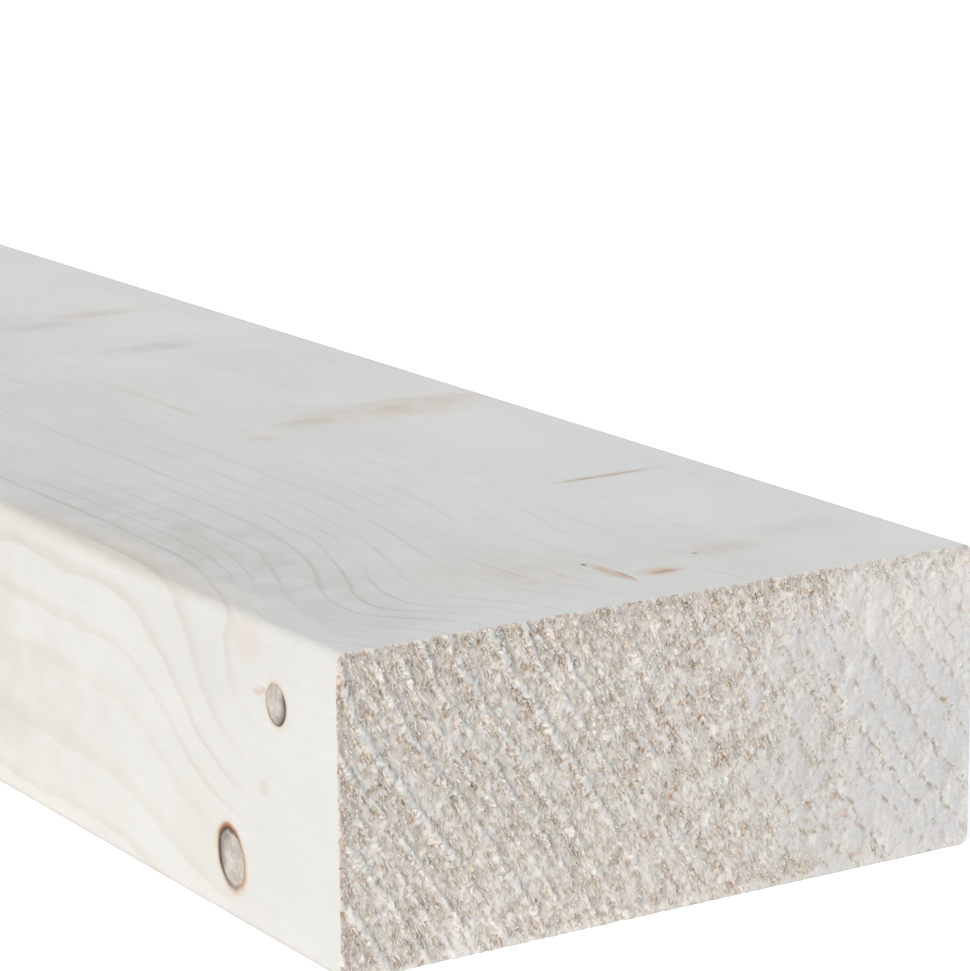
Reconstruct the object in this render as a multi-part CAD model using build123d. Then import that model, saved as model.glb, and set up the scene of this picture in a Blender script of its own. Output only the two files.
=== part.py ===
"""A planed softwood plank: one sawn piece with four eased long edges and two square-sawn ends.

It lies flat on a wide face. X runs along the grain, Y across the width and Z up through the
thickness. The origin is the centre of the face that it lies on, halfway along its length.
"""

import os

from build123d import *

# Driving dimensions, in millimetres
LENGTH = 2400.0
WIDTH = 89.0
THICKNESS = 38.0
EASED_EDGE_RADIUS = 1.5


def planed_section() -> Sketch:
    """Draw the section that the planer leaves, with its lower side on the ground line.

    Returns:
        The cross-section in the plane across the grain: a rectangle whose four corners are the
        eased long edges.
    """
    middle_height = THICKNESS / 2
    outline = RectangleRounded(WIDTH, THICKNESS, EASED_EDGE_RADIUS)
    return Plane.YZ * Pos(0, middle_height) * outline


def plank() -> Part:
    """Run the planed section along the grain, and saw it off square at both ends.

    Returns:
        The plank as one solid, centred on its length.
    """
    half_length = LENGTH / 2
    return extrude(planed_section(), amount=half_length, both=True)


def main() -> None:
    """Build the plank and write it as the one node of the part."""
    os.makedirs("parts", exist_ok=True)
    solid = plank()
    solid.label = "plank"
    export_step(solid, os.path.join("parts", "plank.step"))


if __name__ == "__main__":
    main()
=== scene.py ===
"""The looks of a planed spruce plank with rough sawn ends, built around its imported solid.

X runs along the grain, Y across the width and Z up. Sizes of the wood are in millimetres, as a sawyer
gives them, and become metres where a mesh, a lamp or the camera needs them. A pattern's rate counts its
cells in a millimetre, so that a rate of 0.2 gives patches about 5 mm wide.
"""

import logging
import math
from dataclasses import dataclass
from enum import Enum

import bpy
import numpy as np
from mathutils import Matrix, Vector


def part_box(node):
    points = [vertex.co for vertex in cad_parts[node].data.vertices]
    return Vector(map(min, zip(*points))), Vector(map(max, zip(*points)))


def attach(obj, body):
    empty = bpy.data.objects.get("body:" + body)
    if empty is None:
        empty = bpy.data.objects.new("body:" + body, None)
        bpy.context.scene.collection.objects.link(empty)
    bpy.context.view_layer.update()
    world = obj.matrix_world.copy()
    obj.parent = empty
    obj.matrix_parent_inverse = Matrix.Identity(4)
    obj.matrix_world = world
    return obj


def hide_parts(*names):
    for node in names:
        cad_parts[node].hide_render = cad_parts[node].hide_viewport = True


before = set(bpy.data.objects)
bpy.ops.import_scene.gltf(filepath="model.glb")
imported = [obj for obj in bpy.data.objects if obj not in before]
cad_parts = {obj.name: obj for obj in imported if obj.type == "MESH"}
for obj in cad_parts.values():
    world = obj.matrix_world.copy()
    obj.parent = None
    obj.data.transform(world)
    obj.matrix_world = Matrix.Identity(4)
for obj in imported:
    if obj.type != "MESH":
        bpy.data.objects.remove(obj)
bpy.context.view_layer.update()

LOG = logging.getLogger("plank")
MM = 0.001
PER_METRE = 1000.0
NODE = "plank"
BODY = "root"
BAKE_MAP = "OFBake"
SMOOTH = "SMOOTHSTEP"

Feeds = dict[int | str, object]
Socket = bpy.types.NodeSocket
Tree = bpy.types.NodeTree
Point = tuple[float, float, float]
Span = tuple[float, float]
Colour = Socket | tuple[float, float, float, float]


def linear(hex_colour: str) -> tuple[float, float, float, float]:
    """Turn an sRGB hex colour into the linear colour that a socket takes.

    Args:
        hex_colour: six hex digits, such as "EDEBE5".

    Returns:
        Red, green, blue and an alpha of 1, in linear light.
    """
    shares = [int(hex_colour[i : i + 2], 16) / 255 for i in (0, 2, 4)]
    light = [s / 12.92 if s <= 0.04045 else ((s + 0.055) / 1.055) ** 2.4 for s in shares]
    return light[0], light[1], light[2], 1.0


def add(tree: Tree, kind: str, feeds: Feeds | None = None, out: int | str = 0, **settings: object) -> Socket:
    """Add a node with its settings, and link or set its inputs.

    Args:
        tree: the shader or geometry tree that gets the node.
        kind: Blender's name for the node's type.
        feeds: what goes into each input, by its number or name: a socket to link, or a value.
        out: the output that is wanted, by its number or name.
        **settings: the node's own properties, such as operation.

    Returns:
        The wanted output. Its node attribute gives the node.
    """
    node = tree.nodes.new(kind)
    for name, value in settings.items():
        setattr(node, name, value)
    for key, value in (feeds or {}).items():
        if isinstance(value, bpy.types.NodeSocket):
            tree.links.new(value, node.inputs[key])
        else:
            node.inputs[key].default_value = value
    return node.outputs[out] if node.outputs else None


def coated(tree: Tree, colour: Colour, coats: list[tuple[Socket, str]]) -> Socket:
    """Lay coats over a colour, each by its own share.

    Args:
        tree: a shader tree.
        colour: the colour below them.
        coats: each coat's share and its sRGB hex colour, the lowest first.

    Returns:
        The colour with the coats on it.
    """
    for share, coat in coats:
        colours = {0: share, 6: colour, 7: linear(coat)}
        colour = add(tree, "ShaderNodeMix", colours, out=2, data_type="RGBA")
    return colour


def empty_material(name: str) -> tuple[bpy.types.Material, Tree]:
    """Start a material with no nodes, and give it with its tree."""
    material = bpy.data.materials.new(name)
    material.use_nodes = True
    material.node_tree.nodes.clear()
    return material, material.node_tree


class End(Enum):
    """The two sawn ends, by the way that they face along X."""

    FRONT = 1
    REAR = -1


class Face(Enum):
    """The faces of the plank, each with its outward direction."""

    FRONT_END = (1, 0, 0)
    REAR_END = (-1, 0, 0)
    NEAR_EDGE = (0, -1, 0)
    FAR_EDGE = (0, 1, 0)
    UPPER = (0, 0, 1)
    LOWER = (0, 0, -1)


class Tone(Enum):
    """Colours of the marks, in sRGB: mostly the wood's own, but PALE and SHADE on the upper face are partly
    painted sheen and painted shade.
    """

    PEACH = "EAD3C0"
    TAN = "DCCBB6"
    RESIN = "9A6A3C"
    AMBER = "D9A878"
    PALE = "F7F7F6"
    NEAR_WHITE = "FBF5EE"
    CREAM = "E9DFCB"
    SHADE = "CDC9C1"
    FLECK = "54473C"


@dataclass(frozen=True)
class Branch:
    """A branch that grew through the wood, and shows as a knot where it crosses a face.

    Places are millimetres back from the front end, across and up. The bark side is where the branch
    leaves the plank, and the pith side is where it comes in. The rings bulge towards the bark round it,
    resin gathers above it, and its own bark is thickest on the side that heavy_bark points to.
    """

    bark_side: Point
    pith_side: Point
    bark_radius: float
    pith_radius: float
    bulge: float = 4.0
    resin: float = 0.6
    heavy_bark: Point = (-0.8, 0.0, -0.6)


@dataclass(frozen=True)
class Mark:
    """A stain, streak or band of other shade: a soft ellipsoid in the wood, in the places of Branch. Its PALE
    and SHADE bands on the upper face are partly painted sheen and painted shade.
    """

    centre: Point
    reach: Point
    tone: Tone
    strength: float
    softness: float = 0.8


@dataclass(frozen=True)
class Timber:
    """What the tree put into the plank: its rings round a far-off pith, its branches and its marks."""

    front_x: float
    ring_width: float = 3.41
    first_ring: float = -69.87
    width_swing: float = 0.215
    swing_rate: float = 0.44
    swing_start: float = 2.77
    pith_across: float = 183.0
    pith_height: float = 133.0
    sway: float = 7.0
    sway_length: float = 260.0
    sway_width: float = 60.0
    straight_until: float = 60.0
    straight_sway: float = 0.1
    swaying_from: float = 420.0
    bulge_reach: float = 13.0
    bulge_squeeze: float = 0.65
    bulge_at_cut: float = 0.4
    cut_reach: float = 15.0
    bulge_past_root: float = 0.25
    root_reaches: float = 2.2
    jitter: float = 1.5
    jitter_rate: Point = (0.07, 0.2, 0.2)
    past_bark: float = 1.2
    resin_lean: float = -0.2
    patch_rate: float = 0.16
    patch_limits: Span = (0.35, 0.62)
    patch_shares: Span = (0.25, 1.25)

    def branches(self) -> tuple[Branch, ...]:
        """Give the branches, the two that show at the front end first."""
        return (
            Branch((13.8, -44.5, 29.0), (15.0, -35.0, 32.2), 2.15, 1.6, 12.4, 0.15, (0.85, 0.0, -0.45)),
            Branch((25.2, -44.5, 7.8), (34.2, -4.5, 33.8), 2.9, 1.6, 4.5, 1.0, (-0.85, 0.0, 0.5)),
            Branch((455.0, -18.0, 0.0), (446.0, 39.0, 43.0), 5.0, 3.6),
            Branch((492.0, -44.5, 21.0), (485.0, -3.0, 42.0), 4.4, 3.2, 3.0, 0.8, (0.5, 0.0, -0.8)),
            Branch((905.0, -44.5, 12.0), (894.0, 8.0, 42.0), 3.2, 2.3, 3.0, 0.3),
            Branch((1330.0, 8.0, 0.0), (1320.0, 52.0, 26.0), 6.0, 4.6, 5.0, 0.8, (0.6, 0.6, 0.0)),
            Branch((1790.0, -30.0, 0.0), (1777.0, 33.0, 43.0), 5.4, 3.8),
            Branch((2205.0, -44.5, 9.0), (2193.0, 6.0, 42.0), 4.0, 2.8, 4.0, 0.9),
        )

    def marks(self) -> tuple[Mark, ...]:
        """Give the stains and streaks that the front end's faces show. The pale and dark bands across the
        upper face are partly painted sheen and painted shade, where glancing light meets the turning grain.
        """
        return (
            Mark((120.0, -44.5, 12.0), (100.0, 4.0, 40.0), Tone.CREAM, 0.25, 1.0),
            Mark((85.0, -44.5, 14.0), (52.0, 4.0, 36.0), Tone.SHADE, 0.2, 1.0),
            Mark((60.0, -42.6, 37.5), (46.0, 4.2, 1.6), Tone.TAN, 0.42, 0.95),
            Mark((90.0, -44.5, 37.5), (110.0, 1.8, 1.7), Tone.CREAM, 0.32),
            Mark((33.0, -44.5, 9.0), (9.0, 2.0, 9.0), Tone.CREAM, 0.28),
            Mark((20.2, -44.5, 35.0), (4.4, 2.0, 3.4), Tone.PEACH, 0.3, 0.6),
            Mark((17.0, -44.5, 18.4), (1.9, 2.0, 1.5), Tone.TAN, 0.4),
            Mark((16.5, -44.5, 30.0), (1.7, 1.2, 0.6), Tone.AMBER, 0.45),
            Mark((18.1, -44.5, 29.5), (1.9, 1.2, 0.5), Tone.AMBER, 0.4),
            Mark((55.6, 29.0, 38.0), (1.8, 11.5, 1.4), Tone.AMBER, 0.45, 0.95),
            Mark((55.7, 28.8, 38.0), (0.75, 9.8, 1.4), Tone.RESIN, 0.8),
            Mark((13.0, 0.5, 38.0), (6.2, 1.1, 1.2), Tone.AMBER, 0.5, 0.6),
            Mark((10.6, 1.0, 38.0), (3.2, 0.5, 0.8), Tone.RESIN, 0.45),
            Mark((10.4, 5.6, 38.0), (2.8, 4.6, 1.6), Tone.AMBER, 0.5, 0.95),
            Mark((9.9, 6.0, 38.0), (0.8, 3.0, 0.8), Tone.RESIN, 0.45),
            Mark((17.9, -0.2, 38.0), (0.8, 0.6, 0.8), Tone.FLECK, 0.85),
            Mark((15.1, 13.8, 38.0), (0.5, 0.7, 0.8), Tone.FLECK, 0.6),
            Mark((15.4, 17.0, 38.0), (4.6, 13.0, 4.0), Tone.TAN, 0.4, 1.0),
            Mark((18.0, 32.0, 38.0), (7.0, 11.0, 4.0), Tone.SHADE, 0.3, 1.0),
            Mark((18.6, -9.6, 38.0), (4.2, 0.7, 1.0), Tone.AMBER, 0.16),
            Mark((14.0, -9.8, 38.0), (0.9, 2.0, 1.0), Tone.AMBER, 0.2),
            Mark((15.0, -5.2, 38.0), (2.2, 0.6, 1.0), Tone.AMBER, 0.22),
            Mark((107.0, 28.0, 38.0), (9.0, 21.0, 4.0), Tone.PEACH, 0.5, 1.0),
            Mark((110.0, 29.0, 38.0), (5.0, 19.0, 3.0), Tone.TAN, 0.6, 1.0),
            Mark((106.4, 13.0, 38.0), (3.6, 7.0, 3.0), Tone.TAN, 0.6, 1.0),
            Mark((101.2, 2.7, 38.0), (3.0, 4.0, 2.0), Tone.AMBER, 0.15, 1.0),
            # Pale and dark bands across the upper face: partly painted sheen and painted shade of the turning
            # grain.
            Mark((122.0, 23.0, 38.0), (11.0, 17.0, 4.0), Tone.PALE, 0.65, 1.0),
            Mark((132.0, 2.1, 38.0), (29.0, 1.2, 2.0), Tone.TAN, 0.35, 1.0),
            Mark((194.0, 13.0, 38.0), (5.0, 11.0, 3.0), Tone.SHADE, 0.55, 1.0),
            Mark((198.6, 26.0, 38.0), (5.0, 12.0, 3.0), Tone.TAN, 0.45, 1.0),
            Mark((184.0, 18.0, 38.0), (9.0, 12.0, 4.0), Tone.PALE, 0.65, 1.0),
            Mark((214.0, 28.5, 38.0), (12.0, 12.0, 4.0), Tone.PALE, 0.65, 1.0),
            Mark((168.0, 20.0, 38.0), (4.4, 13.0, 3.0), Tone.SHADE, 0.55, 1.0),
            Mark((154.0, 14.0, 38.0), (9.0, 7.0, 4.0), Tone.PALE, 0.7, 1.0),
            Mark((74.0, 34.0, 38.0), (12.0, 14.0, 4.0), Tone.PALE, 0.5, 1.0),
            Mark((36.0, 26.0, 38.0), (11.0, 12.0, 4.0), Tone.PALE, 0.6, 1.0),
            Mark((50.0, -33.0, 38.0), (80.0, 17.0, 4.0), Tone.SHADE, 0.42, 1.0),
            Mark((2.0, -20.0, 38.0), (7.0, 30.0, 4.0), Tone.PALE, 0.75, 1.0),
            Mark((20.0, -9.0, 38.0), (16.0, 20.0, 4.0), Tone.TAN, 0.22, 1.0),
            Mark((48.0, 30.0, 38.0), (50.0, 22.0, 4.0), Tone.PALE, 0.5, 1.0),
            Mark((172.0, 8.0, 38.0), (42.0, 16.0, 4.0), Tone.PALE, 0.5, 1.0),
            Mark((235.0, 22.0, 38.0), (50.0, 24.0, 4.0), Tone.PALE, 0.55, 1.0),
        )

    def end_marks(self) -> tuple[Mark, ...]:
        """Give the patches that make the front end paler low at its near edge, high at its far edge and high
        in its middle, and duller between its middle and its far edge.
        """
        return (
            Mark((0.0, -32.0, 4.0), (6.0, 52.0, 18.0), Tone.NEAR_WHITE, 0.85, 1.0),
            Mark((0.0, 36.0, 33.0), (6.0, 17.0, 14.0), Tone.NEAR_WHITE, 0.85, 1.0),
            Mark((0.0, -10.0, 31.0), (6.0, 17.0, 12.0), Tone.NEAR_WHITE, 0.5, 1.0),
            Mark((0.0, 19.0, 9.0), (6.0, 13.0, 24.0), Tone.SHADE, 0.24, 1.0),
        )

    def lay_marks(self, tree: Tree, place: Socket, marks: tuple[Mark, ...], colour: Socket) -> Socket:
        """Lay marks over the colour so far, in patches where they are quite soft.

        Args:
            tree: a shader tree.
            place: the point, in millimetres.
            marks: the marks, the lowest first.
            colour: the colour below them.

        Returns:
            The colour with the marks on it.
        """
        patch = add(tree, "ShaderNodeTexNoise", {0: place, 2: self.patch_rate, 3: 3.0, 4: 0.6})
        limits = dict(enumerate((patch, *self.patch_limits, *self.patch_shares)))
        patchy = add(tree, "ShaderNodeMapRange", limits)
        coats = []
        for mark in marks:
            centre = self.at(mark.centre)
            offset = add(tree, "ShaderNodeVectorMath", {0: place, 1: centre}, operation="SUBTRACT")
            scaled = add(tree, "ShaderNodeVectorMath", {0: offset, 1: mark.reach}, operation="DIVIDE")
            share = add(tree, "ShaderNodeVectorMath", {0: scaled}, out=1, operation="LENGTH")
            limits = {0: share, 1: 1.0, 2: 1.0 - mark.softness, 3: 0.0, 4: mark.strength}
            cover = add(tree, "ShaderNodeMapRange", limits, interpolation_type=SMOOTH)
            if mark.softness == 1.0:
                cover = add(tree, "ShaderNodeMath", {0: cover, 1: patchy}, operation="MULTIPLY")
            coats.append((cover, mark.tone.value))
        return coated(tree, colour, coats)

    def at(self, place: Point) -> Vector:
        """Turn a place counted back from the front end into one in the plank's frame, in millimetres."""
        return Vector((self.front_x - place[0], place[1], place[2]))

    def ring_age(self, tree: Tree, place: Socket) -> Socket:
        """Add the nodes that count growth rings outwards from the pith.

        The rings sway along the trunk, differ in width, and bulge towards the bark round each branch, less
        so past its inner end and at the front cut.

        Args:
            tree: a shader or geometry tree.
            place: the point, in millimetres.

        Returns:
            The number of rings, with its fraction running from spring wood to summer wood.
        """
        stretch = (1 / self.sway_length, 1 / self.sway_width, 1 / self.sway_width)
        slow = add(tree, "ShaderNodeVectorMath", {0: place, 1: stretch}, operation="MULTIPLY")
        cloud = add(tree, "ShaderNodeTexNoise", {0: slow, 2: 1.0, 3: 1.0}, out=1)
        centred = add(tree, "ShaderNodeVectorMath", {0: cloud, 1: (0.5, 0.5, 0.5)}, operation="SUBTRACT")
        x = add(tree, "ShaderNodeSeparateXYZ", {0: place})
        calm, swaying = self.front_x - self.straight_until, self.front_x - self.swaying_from
        free = {0: x, 1: calm, 2: swaying, 3: self.straight_sway * self.sway, 4: self.sway}
        amount = add(tree, "ShaderNodeMapRange", free, interpolation_type=SMOOTH)
        drift = add(tree, "ShaderNodeVectorMath", {0: centred, 3: amount}, operation="SCALE")
        swayed = add(tree, "ShaderNodeVectorMath", {0: place, 1: drift}, operation="ADD")
        pith = (0.0, self.pith_across, self.pith_height)
        from_pith = add(tree, "ShaderNodeVectorMath", {0: swayed, 1: pith}, operation="SUBTRACT")
        square_on = add(tree, "ShaderNodeVectorMath", {0: from_pith, 1: (0, 1, 1)}, operation="MULTIPLY")
        grown = add(tree, "ShaderNodeVectorMath", {0: square_on}, out=1, operation="LENGTH")
        limits = {0: x, 1: self.front_x - self.cut_reach, 2: self.front_x, 3: 1.0, 4: self.bulge_at_cut}
        settled = add(tree, "ShaderNodeMapRange", limits, interpolation_type=SMOOTH)
        squeeze = Vector((self.bulge_squeeze, 1.0, 1.0))
        squeezed = add(tree, "ShaderNodeVectorMath", {0: place, 1: squeeze}, operation="MULTIPLY")
        for branch in self.branches():
            root = self.at(branch.pith_side) * squeeze
            axis = (self.at(branch.bark_side) * squeeze - root).normalized()
            offset = add(tree, "ShaderNodeVectorMath", {0: squeezed, 1: root}, operation="SUBTRACT")
            arm = add(tree, "ShaderNodeVectorMath", {0: offset, 1: axis}, operation="CROSS_PRODUCT")
            square = add(tree, "ShaderNodeVectorMath", {0: arm, 1: arm}, out=1, operation="DOT_PRODUCT")
            per_square = -1 / self.bulge_reach**2
            falling = add(tree, "ShaderNodeMath", {0: square, 1: per_square}, operation="MULTIPLY")
            round_it = add(tree, "ShaderNodeMath", {0: falling}, operation="EXPONENT")
            past = add(tree, "ShaderNodeVectorMath", {0: offset, 1: axis}, out=1, operation="DOT_PRODUCT")
            gone = -self.root_reaches * self.bulge_reach
            limits = {0: past, 1: gone, 2: 0.0, 3: self.bulge_past_root, 4: 1.0}
            lasting = add(tree, "ShaderNodeMapRange", limits, interpolation_type=SMOOTH)
            inner = add(tree, "ShaderNodeMath", {0: round_it, 1: lasting}, operation="MULTIPLY")
            bump = add(tree, "ShaderNodeMath", {0: inner, 1: settled}, operation="MULTIPLY")
            feeds = {0: bump, 1: -branch.bulge, 2: grown}
            grown = add(tree, "ShaderNodeMath", feeds, operation="MULTIPLY_ADD")
        jitter = add(tree, "ShaderNodeVectorMath", {0: place, 1: self.jitter_rate}, operation="MULTIPLY")
        shaky = add(tree, "ShaderNodeTexNoise", {0: jitter, 2: 1.0, 3: 2.0})
        grown = add(tree, "ShaderNodeMath", {0: shaky, 1: self.jitter, 2: grown}, operation="MULTIPLY_ADD")
        count = {0: grown, 1: 1 / self.ring_width, 2: self.first_ring}
        even = add(tree, "ShaderNodeMath", count, operation="MULTIPLY_ADD")
        turn = {0: grown, 1: self.swing_rate, 2: self.swing_start}
        angle = add(tree, "ShaderNodeMath", turn, operation="MULTIPLY_ADD")
        swing = add(tree, "ShaderNodeMath", {0: angle}, operation="SINE")
        return add(tree, "ShaderNodeMath", {0: swing, 1: self.width_swing, 2: even}, operation="MULTIPLY_ADD")

    def nearest_knot(self, tree: Tree, place: Socket) -> list[Socket]:
        """Add the nodes that find the nearest branch.

        Args:
            tree: a shader tree.
            place: the point, in millimetres.

        Returns:
            How far the point is from that branch's middle, in shares of its radius; where it lies along
            the branch, from 0 at the pith side to 1 at the bark side; the share of thick bark on its side
            of the branch; the share of resin above it; and the branch's own share of resin.
        """
        found: list[Socket] = []
        for branch in self.branches():
            root = self.at(branch.pith_side)
            line = self.at(branch.bark_side) - root
            offset = add(tree, "ShaderNodeVectorMath", {0: place, 1: root}, operation="SUBTRACT")
            feeds = {0: offset, 1: line / line.length_squared}
            free = add(tree, "ShaderNodeVectorMath", feeds, out=1, operation="DOT_PRODUCT")
            travel = add(tree, "ShaderNodeClamp", {0: free, 1: 0.0, 2: self.past_bark})
            middle = add(tree, "ShaderNodeVectorMath", {0: line, 3: travel}, operation="SCALE")
            arm = add(tree, "ShaderNodeVectorMath", {0: offset, 1: middle}, operation="SUBTRACT")
            reach = add(tree, "ShaderNodeVectorMath", {0: arm}, out=1, operation="LENGTH")
            taper = {0: travel, 1: branch.bark_radius - branch.pith_radius, 2: branch.pith_radius}
            radius = add(tree, "ShaderNodeMath", taper, operation="MULTIPLY_ADD")
            share = add(tree, "ShaderNodeMath", {0: reach, 1: radius}, operation="DIVIDE")
            way = add(tree, "ShaderNodeVectorMath", {0: arm}, operation="NORMALIZE")
            resin_side = (self.resin_lean * branch.resin, 0.0, branch.resin)
            heavy, sticky = (
                add(tree, "ShaderNodeVectorMath", {0: way, 1: side}, out=1, operation="DOT_PRODUCT")
                for side in (branch.heavy_bark, resin_side))
            here = [share, travel, heavy, sticky, branch.resin]
            if not found:
                found = here
                continue
            nearer = add(tree, "ShaderNodeMath", {0: share, 1: found[0]}, operation="LESS_THAN")
            found = [add(tree, "ShaderNodeMix", {0: nearer, 2: old, 3: new}) for old, new in zip(found, here)]
        return found


@dataclass(frozen=True)
class PlanedSpruce:
    """Spruce as the planer leaves it: pale and matt, with a faint sheen, thin tan lines of summer wood,
    hair-fine streaks along the grain, and encased pin knots with a bark ring and a resin halo."""

    timber: Timber
    spring_wood: str = "F1EFEA"
    summer_wood: str = "DDD0BF"
    greyed_line: str = "C9C0B5"
    knot_heart: str = "E2DBD1"
    knot_flesh: str = "C4B8AF"
    knot_shade: str = "8F867F"
    knot_bark: str = "33200F"
    knot_halo: str = "EBCFAF"
    knot_amber: str = "C08A50"
    knot_resin: str = "A0602F"
    roughness: float = 0.62
    ior: float = 1.5
    bump_share: float = 0.25
    bump_height: float = 0.08
    upper_limits: Span = (36.6, 37.6)
    line_start: Span = (0.62, 0.74)
    line_full: float = 0.93
    line_stop: float = 0.94
    ring_luck: Span = (0.3, 0.65)
    weak_until: float = -14.0
    weak_share: float = 0.25
    full_from: float = -4.0
    outer_rings: Span = (1.0, 3.5)
    outer_shares: Span = (1.2, 0.62)
    fade_rate: Point = (0.035, 0.16, 0.09)
    fade_limits: Span = (0.35, 0.65)
    fade_floor: Span = (0.65, 0.15)
    plain_edge: Span = (31.0, 18.0)
    plain_share: float = 0.1
    far_back: Span = (140.0, 60.0)
    far_share: float = 0.45
    near_side: Span = (-36.0, -8.0)
    near_shares: Span = (1.15, 0.68)
    # Single fibres, about 0.03 mm wide, are too fine to show, so the streaks stand for strands of them.
    streak_length: float = 45.0
    streak_width: float = 0.55
    streak_shades: Span = (0.965, 1.01)
    cloud_rate: Point = (0.03, 0.05, 0.05)
    cloud_shades: Span = (0.94, 1.06)
    # Painted light and shade: the upper face's rings count from about -20 at its far edge to about 3 at its
    # near one.
    drift_rings: Span = (-20.0, 3.0)
    drift_shades: Span = (1.05, 0.98)
    wobble: float = 0.45
    wobble_rate: float = 0.45
    knot_wobble: float = 0.14
    halo_rim: Span = (1.5, 0.95)
    crust_rim: Span = (1.3, 1.06)
    heart_rim: Span = (1.04, 0.94)
    bark_rim: Span = (1.14, 1.0)
    bark_sides: Span = (-0.6, 0.9)
    bark_inner: Span = (0.76, 0.64)
    bark_unevenness: float = 0.3
    bark_softness: float = 0.13
    bark_facing: Span = (-0.9, 0.6)
    bark_least: float = 0.45
    dead_along: Span = (0.2, 0.9)
    dead_shares: Span = (0.15, 0.9)
    resin_rate: float = 0.35
    resin_limits: Span = (0.35, 0.65)
    resin_shares: Span = (0.3, 0.9)
    resin_above: Span = (0.35, 0.9)
    mottle_rate: float = 0.55
    mottle_limits: Span = (0.4, 0.62)
    shade_sides: Span = (0.0, 0.75)
    shade_rim: Span = (0.4, 0.8)
    shade_strength: float = 0.9

    def material(self) -> bpy.types.Material:
        """Build the planed faces' material.

        Returns:
            The material, which reads Object coordinates.
        """
        # Spruce cut by planer knives: clean-cut fibres give a matt face with a faint sheen.
        material, tree = empty_material("spruce_planed")
        metres = add(tree, "ShaderNodeTexCoord", out="Object")
        place = add(tree, "ShaderNodeVectorMath", {0: metres, 3: PER_METRE}, operation="SCALE")
        age = self.timber.ring_age(tree, place)
        up = add(tree, "ShaderNodeSeparateXYZ", {0: place}, out="Z")
        limits = dict(enumerate((up, *self.upper_limits)))
        upper = add(tree, "ShaderNodeMapRange", limits, interpolation_type=SMOOTH)
        summer = self._summer_wood(tree, place, age, upper)
        tones = {0: upper, 6: linear(self.summer_wood), 7: linear(self.greyed_line)}
        line = add(tree, "ShaderNodeMix", tones, out=2, data_type="RGBA")
        colours = {0: summer, 6: linear(self.spring_wood), 7: line}
        colour = add(tree, "ShaderNodeMix", colours, out=2, data_type="RGBA")
        streaks = self._streaks(tree, place)
        shade = self._clouds(tree, place, age, streaks)
        colour = add(tree, "ShaderNodeMix", {0: 1.0, 6: colour, 7: shade}, out=2,
                     data_type="RGBA", blend_type="MULTIPLY")
        wobbled = self._wobbled(tree, place, self.wobble)
        colour = self.timber.lay_marks(tree, wobbled, self.timber.marks(), colour)
        colour = self._knotted(tree, self._wobbled(tree, place, self.knot_wobble), colour)
        normal = add(tree, "ShaderNodeBump", {0: self.bump_share, 1: self.bump_height * MM, 3: streaks})
        shader = add(tree, "ShaderNodeBsdfPrincipled", {
            "Base Color": colour, "Roughness": self.roughness, "IOR": self.ior, "Normal": normal})
        add(tree, "ShaderNodeOutputMaterial", {0: shader})
        return material

    def _summer_wood(self, tree: Tree, place: Socket, age: Socket, upper: Socket) -> Socket:
        """Add the share of summer wood: a line that rises slowly and stops short at each ring, thinner on
        the upper face."""
        part = add(tree, "ShaderNodeMath", {0: age}, operation="FRACT")
        start, least = (add(tree, "ShaderNodeMapRange", {0: upper, 3: on_side, 4: above})
                        for on_side, above in (self.line_start, self.fade_floor))
        ring = add(tree, "ShaderNodeMath", {0: age}, operation="FLOOR")
        luck = add(tree, "ShaderNodeTexWhiteNoise", {1: ring}, noise_dimensions="1D")
        patches = add(tree, "ShaderNodeVectorMath", {0: place, 1: self.fade_rate}, operation="MULTIPLY")
        fade = add(tree, "ShaderNodeTexNoise", {0: patches, 2: 1.0, 3: 3.0})
        weak = {0: age, 1: self.weak_until, 2: self.full_from, 3: self.weak_share, 4: 1.0}
        shares = [
            add(tree, "ShaderNodeMapRange", {0: part, 1: 1.0, 2: self.line_stop}, interpolation_type=SMOOTH),
            add(tree, "ShaderNodeMapRange", {0: luck, 3: self.ring_luck[0], 4: self.ring_luck[1]}),
            add(tree, "ShaderNodeMapRange", weak),
            add(tree, "ShaderNodeMapRange", dict(enumerate((age, *self.outer_rings, *self.outer_shares)))),
            add(tree, "ShaderNodeMapRange", dict(enumerate((fade, *self.fade_limits, least, 1.0)))),
            self._faded(tree, place, upper),
        ]
        rise = {0: part, 1: start, 2: self.line_full}
        line = add(tree, "ShaderNodeMapRange", rise, interpolation_type=SMOOTH)
        for share in shares:
            line = add(tree, "ShaderNodeMath", {0: line, 1: share}, operation="MULTIPLY")
        return line

    def _faded(self, tree: Tree, place: Socket, upper: Socket) -> Socket:
        """Add how clearly the lines show: hardly on the edge beside the front knots, and on the upper face
        most along its near side and less farther back."""
        spot = add(tree, "ShaderNodeSeparateXYZ", {0: place}).node
        front = self.timber.front_x
        plain, far = (
            add(tree, "ShaderNodeMapRange",
                {0: spot.outputs["X"], 1: front - start, 2: front - stop, 3: first, 4: last},
                interpolation_type=SMOOTH)
            for (start, stop), first, last in
            ((self.plain_edge, 1.0, self.plain_share), (self.far_back, self.far_share, 1.0)))
        limits = dict(enumerate((spot.outputs["Y"], *self.near_side, *self.near_shares)))
        beside = add(tree, "ShaderNodeMapRange", limits)
        above = add(tree, "ShaderNodeMath", {0: far, 1: beside}, operation="MULTIPLY")
        return add(tree, "ShaderNodeMix", {0: upper, 2: plain, 3: above})

    def _streaks(self, tree: Tree, place: Socket) -> Socket:
        """Add hair-fine streaks along the grain, as a shade just under 1."""
        stretch = (1 / self.streak_length, 1 / self.streak_width, 1 / self.streak_width)
        drawn = add(tree, "ShaderNodeVectorMath", {0: place, 1: stretch}, operation="MULTIPLY")
        hair = add(tree, "ShaderNodeTexNoise", {0: drawn, 2: 1.0, 3: 3.0, 4: 0.6})
        limits = dict(enumerate((hair, 0.25, 0.75, *self.streak_shades)))
        return add(tree, "ShaderNodeMapRange", limits)

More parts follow.
